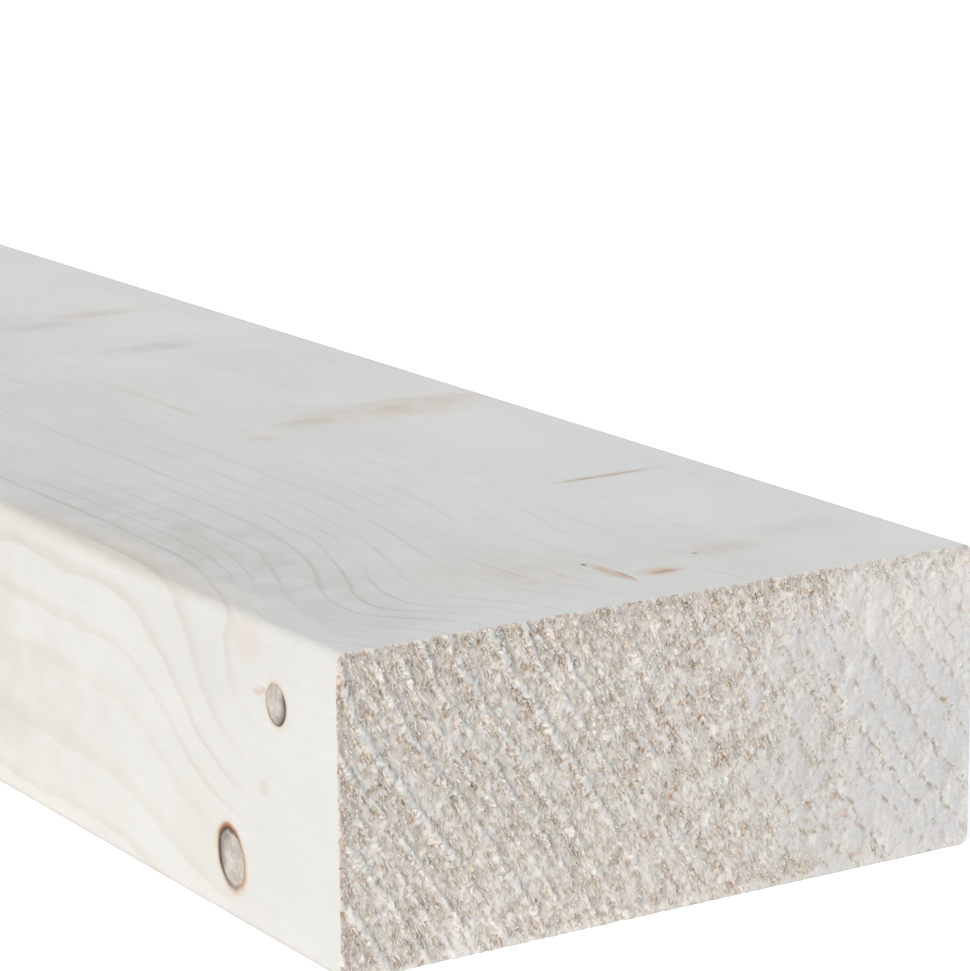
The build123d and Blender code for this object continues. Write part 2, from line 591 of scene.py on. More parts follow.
    def _clouds(self, tree: Tree, place: Socket, age: Socket, streaks: Socket) -> Socket:
        """Add the slow drift of shade, which is painted light and shade: lighter over the inner rings at the
        upper face's far edge, darker over the outer ones at its near edge; and clouds where the planer
        pressed.
        """
        drift = dict(enumerate((age, *self.drift_rings, *self.drift_shades)))
        slow = add(tree, "ShaderNodeMapRange", drift, interpolation_type=SMOOTH)
        broad = add(tree, "ShaderNodeVectorMath", {0: place, 1: self.cloud_rate}, operation="MULTIPLY")
        cloud = add(tree, "ShaderNodeTexNoise", {0: broad, 2: 1.0, 3: 4.0, 4: 0.6})
        cloudy = add(tree, "ShaderNodeMapRange", dict(enumerate((cloud, 0.25, 0.75, *self.cloud_shades))))
        both = add(tree, "ShaderNodeMath", {0: slow, 1: cloudy}, operation="MULTIPLY")
        return add(tree, "ShaderNodeMath", {0: both, 1: streaks}, operation="MULTIPLY")

    def _wobbled(self, tree: Tree, place: Socket, wobble: float) -> Socket:
        """Shift the place by up to the wobble, so that knots and marks get uneven outlines."""
        cloud = add(tree, "ShaderNodeTexNoise", {0: place, 2: self.wobble_rate, 3: 2.0}, out=1)
        centred = add(tree, "ShaderNodeVectorMath", {0: cloud, 1: (0.5, 0.5, 0.5)}, operation="SUBTRACT")
        shift = add(tree, "ShaderNodeVectorMath", {0: centred, 3: 2 * wobble}, operation="SCALE")
        return add(tree, "ShaderNodeVectorMath", {0: place, 1: shift}, operation="ADD")

    def _knotted(self, tree: Tree, place: Socket, colour: Socket) -> Socket:
        """Lay the knots over the colour so far: halo, resin crust, mottled heart and bark ring."""
        share, along, heavy, sticky, gummy = self.timber.nearest_knot(tree, place)
        halo, crust, inside, outer = (
            add(tree, "ShaderNodeMapRange", dict(enumerate((share, *rim))), interpolation_type=SMOOTH)
            for rim in (self.halo_rim, self.crust_rim, self.heart_rim, self.bark_rim))
        patch = add(tree, "ShaderNodeTexNoise", {0: place, 2: self.resin_rate, 3: 2.0})
        limits = dict(enumerate((patch, *self.resin_limits, *self.resin_shares)))
        uneven = add(tree, "ShaderNodeMapRange", limits)
        limits = dict(enumerate((sticky, *self.resin_above)))
        above = add(tree, "ShaderNodeMapRange", limits, interpolation_type=SMOOTH)
        wet = add(tree, "ShaderNodeMath", {0: uneven, 1: gummy}, operation="MULTIPLY")
        glow, amber, resin = (add(tree, "ShaderNodeMath", {0: cover, 1: part}, operation="MULTIPLY")
                              for cover, part in ((halo, uneven), (crust, wet), (crust, above)))
        coats = [(glow, self.knot_halo), (amber, self.knot_amber), (resin, self.knot_resin)]
        colour = coated(tree, colour, coats)
        heart = self._heart(tree, place, share, heavy)
        colour = add(tree, "ShaderNodeMix", {0: inside, 6: colour, 7: heart}, out=2, data_type="RGBA")
        limits = dict(enumerate((heavy, *self.bark_sides, *self.bark_inner)))
        even = add(tree, "ShaderNodeMapRange", limits)
        ragged = {0: uneven, 1: self.bark_unevenness, 2: even}
        thick = add(tree, "ShaderNodeMath", ragged, operation="MULTIPLY_ADD")
        full = add(tree, "ShaderNodeMath", {0: thick, 1: self.bark_softness}, operation="ADD")
        bark = add(tree, "ShaderNodeMapRange", {0: share, 1: thick, 2: full}, interpolation_type=SMOOTH)
        limits = dict(enumerate((heavy, *self.bark_facing, self.bark_least, 1.0)))
        strong = add(tree, "ShaderNodeMapRange", limits)
        limits = dict(enumerate((along, *self.dead_along, *self.dead_shares)))
        dead = add(tree, "ShaderNodeMapRange", limits)
        for part in (outer, dead, strong):
            bark = add(tree, "ShaderNodeMath", {0: bark, 1: part}, operation="MULTIPLY")
        colours = {0: bark, 6: colour, 7: linear(self.knot_bark)}
        return add(tree, "ShaderNodeMix", colours, out=2, data_type="RGBA")

    def _heart(self, tree: Tree, place: Socket, share: Socket, heavy: Socket) -> Socket:
        """Add the colour inside a knot: pale and pinkish patches, with a dull crescent on its bark side."""
        grit = add(tree, "ShaderNodeTexNoise", {0: place, 2: self.mottle_rate, 3: 3.0, 4: 0.6})
        mottle = add(tree, "ShaderNodeMapRange", dict(enumerate((grit, *self.mottle_limits))))
        shade, edge = (
            add(tree, "ShaderNodeMapRange", dict(enumerate((field, *limits))), interpolation_type=SMOOTH)
            for field, limits in ((heavy, self.shade_sides), (share, self.shade_rim)))
        dim = add(tree, "ShaderNodeMath", {0: shade, 1: edge}, operation="MULTIPLY")
        dull = add(tree, "ShaderNodeMath", {0: dim, 1: self.shade_strength}, operation="MULTIPLY")
        return coated(tree, linear(self.knot_heart), [(mottle, self.knot_flesh), (dull, self.knot_shade)])


@dataclass(frozen=True)
class SawnSpruce:
    """Spruce end grain as a coarse saw leaves it: torn, dry and without shine. Cream bundle tips, tan and
    brown where fibres tore out below the surface, and neutral grey where the blade burnished it. The warmer
    tone in the relief's hollows is partly the torn wood's own and partly painted shade."""

    timber: Timber
    burnished: str = "E6E5E3"
    tip: str = "F4EFE8"
    torn: str = "F5E3D1"
    greyed: str = "E8E4E0"
    pit: str = "BDA58A"
    stain: str = "C99560"
    # A painted highlight laid along the near rim of the sawn end.
    rim_highlight: str = "FBEEE2"
    rim_speck: str = "C08050"
    roughness: float = 0.85
    ior: float = 1.5
    glow_share: float = 0.35
    glow_depth: float = 0.5
    glow_radius: Point = (1.0, 0.85, 0.7)
    speck_size: float = 0.5
    speck_shift: Span = (-0.25, 0.25)
    hollow_gain: float = 2.4
    torn_limits: Span = (-0.15, 0.75)
    patch_rate: float = 0.8
    hue_limits: Span = (0.4, 0.6)
    ribbon_sheen: float = 0.8
    grain_rate: float = 3.4
    grain_shades: Span = (0.93, 1.08)
    pit_limits: Span = (0.3, 0.5)
    pit_least: float = 0.3
    clear_limits: Span = (0.15, 0.55)
    clear_least: float = 0.9
    stain_rate: float = 0.8
    stain_limits: Span = (0.65, 0.71)
    stain_strength: float = 0.75
    bump_share: float = 0.5
    bump_height: float = 0.15
    dust_rate: float = 1.1
    dust_limits: Span = (0.54, 0.64)
    near_rim: Span = (-42.9, -44.2)
    near_rim_share: float = 0.7
    high_rim: Span = (36.4, 37.6)
    high_rim_share: float = 0.35

    def material(self) -> bpy.types.Material:
        """Build the sawn ends' material.

        Returns:
            The material, which reads the relief that the mesh carries and Object coordinates.
        """
        # Spruce torn across by a saw: open fibre ends take in light, so it looks soft, dry and without shine.
        material, tree = empty_material("spruce_sawn_end_grain")
        metres = add(tree, "ShaderNodeTexCoord", out="Object")
        place = add(tree, "ShaderNodeVectorMath", {0: metres, 3: PER_METRE}, operation="SCALE")
        hollow, rough, ribbon, pit = (add(tree, "ShaderNodeAttribute", out=2, attribute_name=name)
                                      for name in ("hollow", "rough", "ribbon", "pit"))
        speck = add(tree, "ShaderNodeTexNoise", {0: place, 2: 1 / self.speck_size, 3: 3.0, 4: 0.65})
        tones = {0: rough, 6: linear(self.burnished), 7: linear(self.tip)}
        colour = add(tree, "ShaderNodeMix", tones, out=2, data_type="RGBA")
        limits = dict(enumerate((speck, 0.3, 0.7, *self.speck_shift)))
        shift = add(tree, "ShaderNodeMapRange", limits)
        # The hollows of the relief take the warmer torn tone: partly the torn wood's own colour, partly
        # painted shade in the hollows.
        feeds = {0: hollow, 1: self.hollow_gain, 2: shift}
        depth = add(tree, "ShaderNodeMath", feeds, operation="MULTIPLY_ADD")
        limits = dict(enumerate((depth, *self.torn_limits)))
        torn_and_shaded = add(tree, "ShaderNodeMapRange", limits, interpolation_type=SMOOTH)
        torn = add(tree, "ShaderNodeMath", {0: torn_and_shaded, 1: rough}, operation="MULTIPLY")
        patch = add(tree, "ShaderNodeTexNoise", {0: place, 2: self.patch_rate, 3: 2.0})
        limits = dict(enumerate((patch, *self.hue_limits)))
        hue = add(tree, "ShaderNodeMapRange", limits, interpolation_type=SMOOTH)
        tones = {0: hue, 6: linear(self.torn), 7: linear(self.greyed)}
        below = add(tree, "ShaderNodeMix", tones, out=2, data_type="RGBA")
        colour = add(tree, "ShaderNodeMix", {0: torn, 6: colour, 7: below}, out=2, data_type="RGBA")
        sheen = add(tree, "ShaderNodeMath", {0: ribbon, 1: self.ribbon_sheen}, operation="MULTIPLY")
        tones = {0: sheen, 6: colour, 7: linear(self.burnished)}
        colour = add(tree, "ShaderNodeMix", tones, out=2, data_type="RGBA")
        grain = add(tree, "ShaderNodeTexNoise", {0: place, 2: self.grain_rate, 3: 2.0, 4: 0.6})
        limits = dict(enumerate((grain, 0.3, 0.7, *self.grain_shades)))
        grainy = add(tree, "ShaderNodeMapRange", limits)
        colour = add(tree, "ShaderNodeMix", {0: 1.0, 6: colour, 7: grainy}, out=2,
                     data_type="RGBA", blend_type="MULTIPLY")
        limits = dict(enumerate((speck, *self.pit_limits, self.pit_least, 1.0)))
        sparse = add(tree, "ShaderNodeMapRange", limits)
        limits = dict(enumerate((rough, *self.clear_limits, self.clear_least, 1.0)))
        clear = add(tree, "ShaderNodeMapRange", limits)
        faint = add(tree, "ShaderNodeMath", {0: sparse, 1: clear}, operation="MULTIPLY")
        brown = add(tree, "ShaderNodeMath", {0: pit, 1: faint}, operation="MULTIPLY")
        blot = add(tree, "ShaderNodeTexNoise", {0: place, 2: self.stain_rate, 3: 1.0, 4: 0.5})
        limits = dict(enumerate((blot, *self.stain_limits, 0.0, self.stain_strength)))
        stained = add(tree, "ShaderNodeMapRange", limits)
        blotched = add(tree, "ShaderNodeMath", {0: stained, 1: rough}, operation="MULTIPLY")
        colour = coated(tree, colour, [(brown, self.pit), (blotched, self.stain)])
        colour = self.timber.lay_marks(tree, place, self.timber.end_marks(), colour)
        # The near rim is lightened with a painted highlight, standing in for the light that its fringe of
        # fibres catches.
        rim_light, specks = self._rim(tree, place)
        colour = coated(tree, colour, [(rim_light, self.rim_highlight), (specks, self.rim_speck)])
        normal = add(tree, "ShaderNodeBump", {0: self.bump_share, 1: self.bump_height * MM, 3: speck})
        shader = add(tree, "ShaderNodeBsdfPrincipled", {
            "Base Color": colour, "Roughness": self.roughness, "IOR": self.ior, "Normal": normal,
            "Subsurface Weight": self.glow_share, "Subsurface Scale": self.glow_depth * MM,
            "Subsurface Radius": self.glow_radius})
        add(tree, "ShaderNodeOutputMaterial", {0: shader})
        return material

    def _rim(self, tree: Tree, place: Socket) -> tuple[Socket, Socket]:
        """Add a painted highlight along the near rim, where its fringe of fibres catches the light, and the
        brown specks that the blade left there and above.

        Args:
            tree: the material's tree.
            place: the point, in millimetres.

        Returns:
            The share of painted highlight, and the share of specks.
        """
        spot = add(tree, "ShaderNodeSeparateXYZ", {0: place}).node
        near, high = (
            add(tree, "ShaderNodeMapRange", dict(enumerate((spot.outputs[axis], *limits, 0.0, share))))
            for axis, limits, share in
            (("Y", self.near_rim, self.near_rim_share), ("Z", self.high_rim, self.high_rim_share)))
        rim = add(tree, "ShaderNodeMath", {0: near, 1: high}, operation="MAXIMUM")
        dust = add(tree, "ShaderNodeTexNoise", {0: place, 2: self.dust_rate, 3: 2.0, 4: 0.6})
        limits = dict(enumerate((dust, *self.dust_limits)))
        specks = add(tree, "ShaderNodeMapRange", limits, interpolation_type=SMOOTH)
        return near, add(tree, "ShaderNodeMath", {0: rim, 1: specks}, operation="MULTIPLY")


@dataclass(frozen=True)
class TornFibre:
    """A splinter of spruce left standing by the saw: cream at its tip, tan at its foot, quite dry."""

    tip: str = "FAF6F0"
    foot: str = "F3E9DE"
    dark_tip: str = "EEE3D7"
    dark_foot: str = "DCC6AE"
    dark_from: float = 0.7
    roughness: float = 0.8
    ior: float = 1.5
    glow_share: float = 0.35
    glow_depth: float = 0.5
    glow_radius: Point = (1.0, 0.85, 0.7)

    def material(self) -> bpy.types.Material:
        """Build the splinters' material.

        Returns:
            The material, which reads how far up a splinter a point is and the splinter's own tone.
        """
        # Spruce fibres that the saw pulled loose: thin enough to glow a little, and too dry to shine.
        material, tree = empty_material("spruce_torn_fibre")
        height, tone = (add(tree, "ShaderNodeAttribute", out=2, attribute_name=name)
                        for name in ("height", "tone"))
        # Each splinter darkens from tip to foot: partly its own colour, partly painted shade where the
        # splinters crowd at their feet.
        pale, brown = (
            add(tree, "ShaderNodeMix", {0: height, 6: linear(foot), 7: linear(tip)}, out=2,
                data_type="RGBA")
            for foot, tip in ((self.foot, self.tip), (self.dark_foot, self.dark_tip)))
        limits = {0: tone, 1: self.dark_from, 2: 1.0}
        few = add(tree, "ShaderNodeMapRange", limits, interpolation_type=SMOOTH)
        colour = add(tree, "ShaderNodeMix", {0: few, 6: pale, 7: brown}, out=2, data_type="RGBA")
        shader = add(tree, "ShaderNodeBsdfPrincipled", {
            "Base Color": colour, "Roughness": self.roughness, "IOR": self.ior,
            "Subsurface Weight": self.glow_share, "Subsurface Scale": self.glow_depth * MM,
            "Subsurface Radius": self.glow_radius})
        add(tree, "ShaderNodeOutputMaterial", {0: shader})
        return material


def evaluated(obj: bpy.types.Object, tree: Tree, inputs: dict[str, object]) -> bpy.types.Mesh:
    """Run a geometry tree on an object, and give the result as a plain mesh.

    Args:
        obj: the object whose mesh the tree starts from. The modifier is removed again.
        tree: the geometry tree.
        inputs: values for the tree's named inputs.

    Returns:
        The finished mesh, with nothing live on it.
    """
    modifier = obj.modifiers.new(tree.name, "NODES")
    modifier.node_group = tree
    for item in tree.interface.items_tree:
        if item.in_out == "INPUT" and item.name in inputs:
            modifier[item.identifier] = inputs[item.name]
    depsgraph = bpy.context.evaluated_depsgraph_get()
    depsgraph.update()
    mesh = bpy.data.meshes.new_from_object(obj.evaluated_get(depsgraph), depsgraph=depsgraph)
    obj.modifiers.remove(modifier)
    return mesh


def geometry_tree(name: str, inputs: dict[str, str]) -> tuple[Tree, bpy.types.Node]:
    """Start a geometry tree that takes a mesh and named inputs, and gives a mesh.

    Args:
        name: the tree's name.
        inputs: each named input with its socket type.

    Returns:
        The tree, and its node of inputs.
    """
    tree = bpy.data.node_groups.new(name, "GeometryNodeTree")
    tree.interface.new_socket("Geometry", in_out="INPUT", socket_type="NodeSocketGeometry")
    for label, kind in inputs.items():
        tree.interface.new_socket(label, in_out="INPUT", socket_type=kind)
    tree.interface.new_socket("Geometry", in_out="OUTPUT", socket_type="NodeSocketGeometry")
    return tree, tree.nodes.new("NodeGroupInput")


@dataclass
class MeshDraft:
    """Corners and polygons of a mesh while it is put together, and the face that each polygon is on."""

    corners: list[Point]
    faces: list[tuple[int, ...]]
    sides: list[Face]

    def loop(self, points: list[Point]) -> list[int]:
        """Add a closed loop of corners, and give their numbers."""
        first = len(self.corners)
        self.corners.extend(points)
        return list(range(first, len(self.corners)))


@dataclass
class Plank:
    """The plank: a planed sleeve with eased edges, closed by two sawn ends with real relief."""

    timber: Timber
    length: float
    width: float
    thickness: float
    edge_radius: float = 1.5
    front_spacing: float = 0.25
    rear_spacing: float = 0.5
    belt_width: float = 2.0
    corner_steps: int = 8
    beside_corner: tuple[float, ...] = (0.0, 0.35, 0.7, 1.7, 3.1, 3.4, 3.8)
    first_loop: float = 3.75
    fine_step: float = 1.25
    fine_until: float = 100.0
    middling_step: float = 6.25
    middling_until: float = 300.0
    coarse_loops: int = 54
    last_loop: float = 4.0
    torn_depth: float = 0.36
    depth_limits: Span = (0.03, 1.5)
    # Single fibres are too fine to show, so the relief is of bundles of them.
    bundle_size: float = 0.85
    bundle_stretch: Point = (1.0, 0.62, 1.0)
    tear_stretch: Point = (1.0, 0.42, 2.6)
    ribbon_start: Span = (0.72, 0.84)
    ribbon_stop: Span = (0.99, 0.94)
    ribbons_across: Span = (6.0, -14.0)
    fraying: float = 0.09
    torn_across: Span = (-4.0, 37.0)
    torn_shares: Span = (0.85, 0.2)
    torn_above: Span = (31.0, 37.0)
    torn_above_share: float = 0.4
    least_torn: float = 0.12
    nap_rate: float = 1.5
    hollow_rounds: int = 5
    rough_rate: float = 0.19
    rough_swing: Span = (-0.4, 0.35)
    break_rate: float = 0.33
    break_limits: Span = (0.36, 0.58)
    break_shares: Span = (0.1, 0.95)
    ribbon_hold: float = 0.85
    ribbon_proud: float = 0.7
    dome_share: float = 0.5
    fuzz_rate: float = 1.9
    fuzz_share: float = 1.4
    ring_slope: float = 0.5
    tooth_rate: float = 2.9
    tooth_share: float = 0.5
    tear_rate: float = 1.25
    hole_limits: Span = (0.5, 0.63)
    spring_limits: Span = (0.36, 0.12)
    late_pits: float = 0.08
    pit_depth: float = 0.42
    rim_width: float = 1.2
    rim_share: float = 0.4
    crisp_angle: float = 45.0
    step_depth: float = 0.35
    sag_depth: float = 0.45
    rest_depth: float = 0.2
    sag_place: Point = (42.0, -44.5, 38.0)
    sag_length: float = 26.0
    sag_width: float = 4.9

    def build(self, planed: bpy.types.Material, sawn: bpy.types.Material) -> bpy.types.Object:
        """Make the plank's mesh and dress it.

        Args:
            planed: the long faces' material.
            sawn: the ends' material.

        Returns:
            The finished plank, which stands for the CAD solid.
        """
        draft = self._draft()
        mesh = bpy.data.meshes.new("plank_draft")
        mesh.from_pydata([Vector(c) * MM for c in draft.corners], [], draft.faces)
        plank = bpy.data.objects.new("spruce_plank", mesh)
        bpy.context.scene.collection.objects.link(plank)
        self._lay_map(mesh, draft)
        self._name_ends(mesh, draft)
        inputs = {
            "Torn Depth": self.torn_depth,
            "Bundle Size": self.bundle_size,
            "Step Depth": self.step_depth,
            "Sag Depth": self.sag_depth,
            "Planed": planed,
            "Sawn": sawn,
        }
        plank.data = evaluated(plank, self._saw_tree(), inputs)
        plank.data.name = "spruce_plank"
        bpy.data.meshes.remove(mesh)
        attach(plank, BODY)
        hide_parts(NODE)
        return plank

    def _eased(self, across: float, up: float) -> tuple[float, float]:
        """Draw a point of the plain rectangle in to the eased section, without moving points inside it."""
        flat_across = self.width / 2 - self.edge_radius
        flat_up = self.thickness / 2 - self.edge_radius
        over = max(abs(across) - flat_across, 0.0) / self.edge_radius
        above = max(abs(up) - flat_up, 0.0) / self.edge_radius
        bent_over = over * math.sqrt(1 - above**2 / 2) * self.edge_radius
        bent_above = above * math.sqrt(1 - over**2 / 2) * self.edge_radius
        y = math.copysign(min(abs(across), flat_across) + bent_over, across)
        z = math.copysign(min(abs(up), flat_up) + bent_above, up)
        return y, z + self.thickness / 2

    def _sleeve_outline(self) -> list[tuple[float, float]]:
        """Give the section's outline, anticlockwise from the front, close-set at the eased edges."""
        half_width = self.width / 2 - self.edge_radius
        half_height = self.thickness / 2 - self.edge_radius
        outline = []
        for turn in range(4):
            flat = half_height if turn % 2 == 0 else half_width
            stands = (half_width if turn % 2 == 0 else half_height) + self.edge_radius
            steps = [-flat + d for d in self.beside_corner] + [-flat / 3, flat / 3]
            steps += [flat - d for d in reversed(self.beside_corner)]
            side = [Vector((stands, s)) for s in steps]
            for k in range(1, self.corner_steps):
                angle = math.radians(90) * k / self.corner_steps
                arc = Vector((math.cos(angle), math.sin(angle))) * self.edge_radius
                side.append(Vector((stands - self.edge_radius, flat)) + arc)
            spin = Matrix.Rotation(math.radians(90) * turn, 2)
            outline += [spin @ p for p in side]
        return [(p.x, p.y + self.thickness / 2) for p in outline]

    def _stations(self) -> list[float]:
        """Give the distances back from the front end at which the sleeve has a loop, close-set near it."""
        fine = np.arange(self.first_loop, self.fine_until, self.fine_step)
        middling = np.arange(self.fine_until, self.middling_until, self.middling_step)
        coarse = np.linspace(self.middling_until, self.length - self.last_loop, self.coarse_loops)
        return [*fine, *middling, *coarse]

    def _draft(self) -> MeshDraft:
        """Put the ends, the sleeve and the seams between them together."""
        draft = MeshDraft([], [], [])
        front = self._end_grid(draft, End.FRONT, self.front_spacing)
        outline = self._sleeve_outline()
        x = self.timber.front_x
        loops = [draft.loop([(x - d, y, z) for y, z in outline]) for d in self._stations()]
        rear = self._end_grid(draft, End.REAR, self.rear_spacing)
        self._zip(draft, self._belt(draft, front, End.FRONT), loops[0])
        for ahead, behind in zip(loops, loops[1:]):
            for a, b in zip(range(-1, len(outline) - 1), range(len(outline))):
                draft.faces.append((ahead[a], behind[a], behind[b], ahead[b]))
        self._zip(draft, loops[-1], self._belt(draft, rear, End.REAR))
        return draft

    def _end_grid(self, draft: MeshDraft, end: End, spacing: float) -> list[int]:
        """Add one end as a fine grid.

        Args:
            draft: the mesh so far.
            end: which end.
            spacing: the grid's spacing in millimetres.

        Returns:
            The numbers of the corners round its rim, anticlockwise seen from the front.
        """
        columns = round(self.width / spacing) + 1
        rows = round(self.thickness / spacing) + 1
        ys = np.linspace(-self.width / 2, self.width / 2, columns)
        zs = np.linspace(-self.thickness / 2, self.thickness / 2, rows)
        x = end.value * self.timber.front_x
        eased = [self._eased(float(y), float(z)) for z in zs for y in ys]
        numbers = np.array(draft.loop([(x, y, z) for y, z in eased])).reshape(rows, columns)
        quads = np.stack([numbers[:-1, :-1], numbers[:-1, 1:], numbers[1:, 1:], numbers[1:, :-1]], -1)
        for quad in quads.reshape(-1, 4).tolist():
            draft.faces.append(tuple(quad if end is End.FRONT else reversed(quad)))
        rim = [*numbers[0, :-1], *numbers[:-1, -1], *numbers[-1, :0:-1], *numbers[:0:-1, 0]]
        return [int(n) for n in rim]

    def _belt(self, draft: MeshDraft, rim: list[int], end: End) -> list[int]:
        """Add a narrow belt behind a rim, corner for corner, so that a torn rim doesn't fold the sleeve.

        Args:
            draft: the mesh so far.
            rim: the rim's corners.
            end: which end the rim closes.

        Returns:
            The numbers of the corners along the belt's other side.
        """
        x = end.value * (self.timber.front_x - self.belt_width)
        belt = draft.loop([(x, *draft.corners[n][1:]) for n in rim])
        ahead, behind = (rim, belt) if end is End.FRONT else (belt, rim)
        for a, b in zip(range(-1, len(rim) - 1), range(len(rim))):
            draft.faces.append((ahead[a], behind[a], behind[b], ahead[b]))
        return belt

    def _zip(self, draft: MeshDraft, ahead: list[int], behind: list[int]) -> None:
        """Join two loops of different counts with triangles, going round both together.

        Args:
            draft: the mesh so far.
            ahead: the loop nearer to the front end.
            behind: the loop behind it.
        """
        def turned(loop: list[int]) -> list[tuple[float, int]]:
            """Sort a loop by its angle about the section's middle."""
            middle = self.thickness / 2
            return sorted((math.atan2(draft.corners[n][2] - middle, draft.corners[n][1]), n) for n in loop)

        first, second = turned(ahead), turned(behind)
        i = j = 0
        while i < len(first) or j < len(second):
            next_first = first[i + 1][0] if i + 1 < len(first) else first[0][0] + math.tau
            next_second = second[j + 1][0] if j + 1 < len(second) else second[0][0] + math.tau
            a, b = first[i % len(first)][1], second[j % len(second)][1]
            if j == len(second) or (i < len(first) and next_first <= next_second):
                draft.faces.append((a, b, first[(i + 1) % len(first)][1]))
                i += 1
            else:
                draft.faces.append((a, b, second[(j + 1) % len(second)][1]))
                j += 1

    def _facing(self, mesh: bpy.types.Mesh) -> list[Face]:
        """Say which face of the plank each polygon belongs to."""
        faces = list(Face)
        ways = np.array([f.value for f in faces], float)
        normals = np.zeros(len(mesh.polygons) * 3)
        mesh.polygons.foreach_get("normal", normals)
        best = np.argmax(normals.reshape(-1, 3) @ ways.T, axis=1)
        return [faces[b] for b in best]

    def _lay_map(self, mesh: bpy.types.Mesh, draft: MeshDraft) -> None:
        """Lay the faces out on one map: the front end largest, then three lengths of the four long faces.

        Args:
            mesh: the plank's mesh.
            draft: what it was made from, which gets each polygon's face.
        """
        draft.sides = self._facing(mesh)
        gap = 0.004
        first, rest = self.middling_until, self.length - self.last_loop - self.middling_until
        steps = self.coarse_loops - 1
        cuts = (0.0, first, first + rest * (steps // 2) / steps, self.length)
        row_shares = (1.3, 0.67, 0.67)
        long_faces = (Face.NEAR_EDGE, Face.UPPER, Face.FAR_EDGE, Face.LOWER)
        spans = [self.thickness, self.width, self.thickness, self.width]
        ends_height = 0.345
        unit = (1 - ends_height) / (sum(spans) * sum(row_shares))
        rows: dict[tuple[int, Face], tuple[float, float]] = {}
        level = ends_height
        for part, share in enumerate(row_shares):
            for face, span in zip(long_faces, spans):
                rows[part, face] = (level, span * share * unit)
                level += span * share * unit
        boxes = {Face.FRONT_END: (0.0, 0.79), Face.REAR_END: (0.80, 0.2)}
        layer = mesh.uv_layers.new(name=BAKE_MAP)
        for polygon, face in zip(mesh.polygons, draft.sides):
            back = self.timber.front_x - polygon.center.x * PER_METRE
            part = sum(back > c for c in cuts[1:-1])
            for corner in polygon.loop_indices:
                x, y, z = mesh.vertices[mesh.loops[corner].vertex_index].co * PER_METRE
                across, up = y / self.width + 0.5, z / self.thickness
                if face in boxes:
                    left, size = boxes[face]
                    height = (size - 2 * gap) * self.thickness / self.width
                    u, v = left + gap + across * (size - 2 * gap), gap + up * height
                else:
                    low, height = rows[part, face]
                    start, stop = cuts[part], cuts[part + 1]
                    run = (self.timber.front_x - x - start) / (stop - start)
                    share = up if face in (Face.NEAR_EDGE, Face.FAR_EDGE) else across
                    u, v = gap + run * (1 - 2 * gap), low + gap / 2 + share * (height - gap)
                layer.data[corner].uv = (u, v)

    def _name_ends(self, mesh: bpy.types.Mesh, draft: MeshDraft) -> None:
        """Store which corners lie on an end, and which polygons are sawn."""
        x = np.array([c[0] for c in draft.corners])
        ends = np.where(np.abs(x) > self.timber.front_x - 0.01, np.sign(x), 0.0)
        mesh.attributes.new("end", "FLOAT", "POINT").data.foreach_set("value", ends)
        sawn = [face in (Face.FRONT_END, Face.REAR_END) for face in draft.sides]
        mesh.attributes.new("sawn", "BOOLEAN", "FACE").data.foreach_set("value", sawn)

    def _saw_tree(self) -> Tree:
        """Build the tree that tears the ends, lets the near upper edge sag and sets the materials.

        Returns:
            The geometry tree, with inputs for its depths, the bundle size and the materials.
        """
        kinds = {"Torn Depth": "NodeSocketFloat", "Bundle Size": "NodeSocketFloat",
                 "Step Depth": "NodeSocketFloat", "Sag Depth": "NodeSocketFloat",
                 "Planed": "NodeSocketMaterial", "Sawn": "NodeSocketMaterial"}
        tree, given = geometry_tree("saw_and_plane", kinds)
        metres = add(tree, "GeometryNodeInputPosition")
        place = add(tree, "ShaderNodeVectorMath", {0: metres, 3: PER_METRE}, operation="SCALE")
        age = self.timber.ring_age(tree, place)
        part = add(tree, "ShaderNodeMath", {0: age}, operation="FRACT")
        nap = add(tree, "ShaderNodeTexNoise", {0: place, 2: self.nap_rate, 3: 2.0, 4: 0.6})
        limits = {0: nap, 1: 0.3, 2: 0.7, 3: -self.fraying, 4: self.fraying}
        uneven = add(tree, "ShaderNodeMapRange", limits)
        frayed = add(tree, "ShaderNodeMath", {0: part, 1: uneven}, operation="ADD")
        rise, stop = (
            add(tree, "ShaderNodeMapRange", dict(enumerate((frayed, *limits))), interpolation_type=SMOOTH)
            for limits in (self.ribbon_start, self.ribbon_stop))
        ridge = add(tree, "ShaderNodeMath", {0: rise, 1: stop}, operation="MULTIPLY")
        rough, ribbon = self._roughness(tree, place, ridge)
        depth, pit = self._tear(tree, given, place, rough, ribbon, part)
        end = add(tree, "GeometryNodeInputNamedAttribute", {0: "end"}, data_type="FLOAT")
        push = add(tree, "ShaderNodeMath", {0: depth, 1: end}, operation="MULTIPLY")
        inward = add(tree, "ShaderNodeMath", {0: push, 1: -MM}, operation="MULTIPLY")
        shift = add(tree, "ShaderNodeCombineXYZ", {0: inward})
        smooth = add(tree, "GeometryNodeBlurAttribute", {0: depth, 1: self.hollow_rounds}, data_type="FLOAT")
        hollow = add(tree, "ShaderNodeMath", {0: depth, 1: smooth}, operation="SUBTRACT")
        sag = self._sag(tree, given, place, part, end)
        moved = add(tree, "ShaderNodeVectorMath", {0: shift, 1: sag}, operation="ADD")
        body = given.outputs["Geometry"]
        kept = {"hollow": hollow, "rough": rough, "pit": pit, "depth": depth, "ribbon": ribbon}
        for name, value in kept.items():
            body = add(tree, "GeometryNodeStoreNamedAttribute", {0: body, 2: name, 3: value},
                       data_type="FLOAT", domain="POINT")
        body = add(tree, "GeometryNodeSetPosition", {0: body, 3: moved})
        body = add(tree, "GeometryNodeSetShadeSmooth", {0: body, 2: True})
        angle = add(tree, "GeometryNodeInputMeshEdgeAngle")
